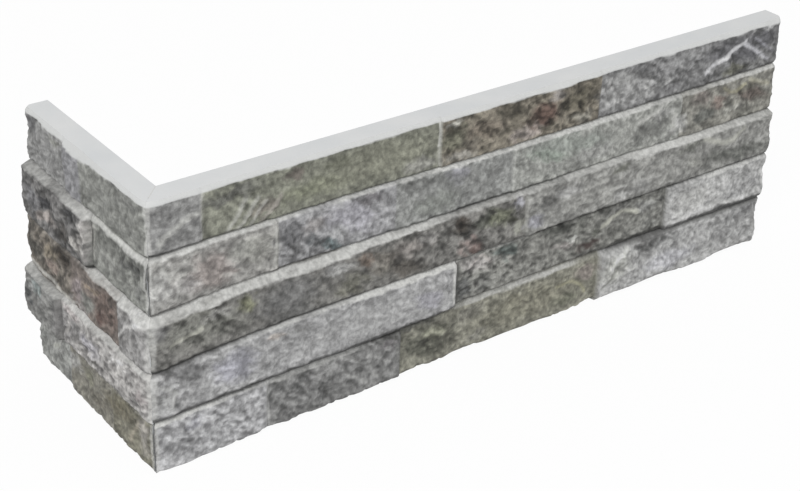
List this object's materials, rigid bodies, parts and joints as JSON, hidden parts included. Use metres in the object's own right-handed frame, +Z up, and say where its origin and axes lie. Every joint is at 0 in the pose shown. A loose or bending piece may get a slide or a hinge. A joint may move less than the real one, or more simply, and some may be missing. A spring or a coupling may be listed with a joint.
{
  "type": "stone cladding corner piece",
  "caption": "L-shaped wall cladding corner: a long and a short stoneware leaf with a split-stone face, mitred and bonded at the outer arris.",
  "frame": {"origin": "foot of the inner corner, where the two rear faces meet", "axes": "+X along the long leg, +Y along the short leg, +Z up the panel; the stone faces look to -Y and -X"},
  "size_m": [0.4325, 0.132, 0.15],
  "materials": {
    "stoneware": "matt printed stone face on a pale grey body",
    "adhesive": "cured grey epoxy"
  },
  "bodies": {
    "root": {"long_leaf": "stoneware", "short_leaf": "stoneware", "mitre_adhesive": "adhesive"}
  },
  "joints": []
}
